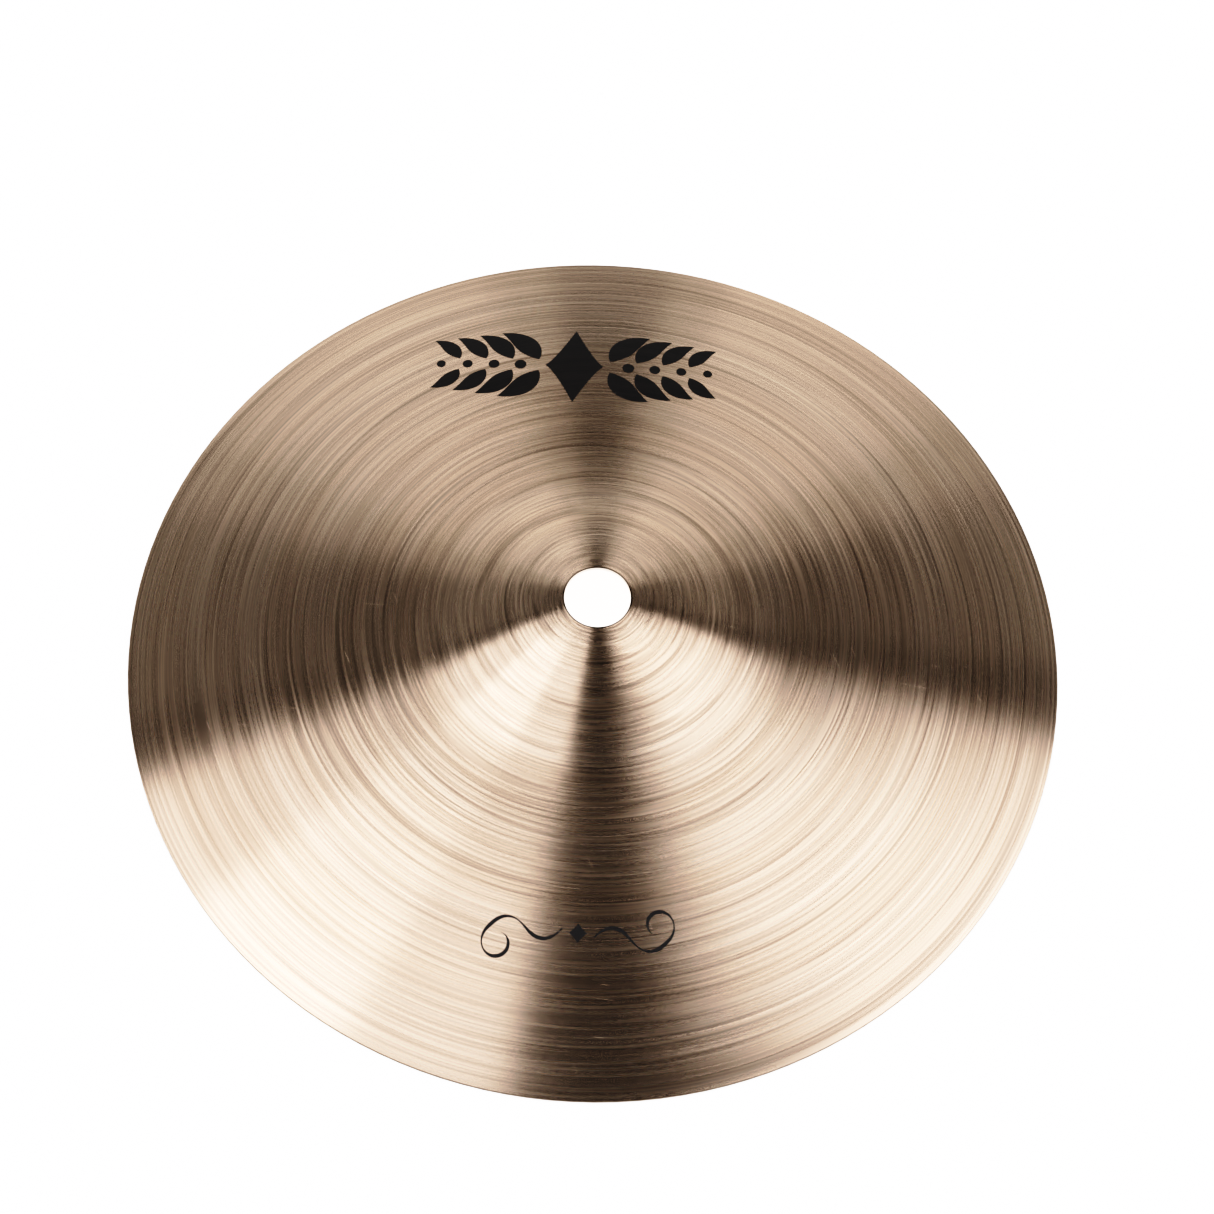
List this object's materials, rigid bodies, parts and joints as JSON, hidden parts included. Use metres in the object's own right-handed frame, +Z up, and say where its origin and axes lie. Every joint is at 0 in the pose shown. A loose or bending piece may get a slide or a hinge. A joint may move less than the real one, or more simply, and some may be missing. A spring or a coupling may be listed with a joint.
{
  "type": "cymbal",
  "caption": "Small thin bronze cymbal: a shallow bowed disc with a low bell, a round hole in its centre, and fine lathe grooves.",
  "frame": {"origin": "centre of the plane that the edge rests on", "axes": "+Z up along the cymbal's axis, out through the top of the bell; +X to the right of the player's print"},
  "size_m": [0.2032, 0.2032, 0.0225],
  "materials": {
    "bronze": "satin, lathed in fine rings",
    "print_ink": "thin printed film, slightly glossy"
  },
  "bodies": {
    "root": {"cymbal": "bronze"}
  },
  "joints": []
}
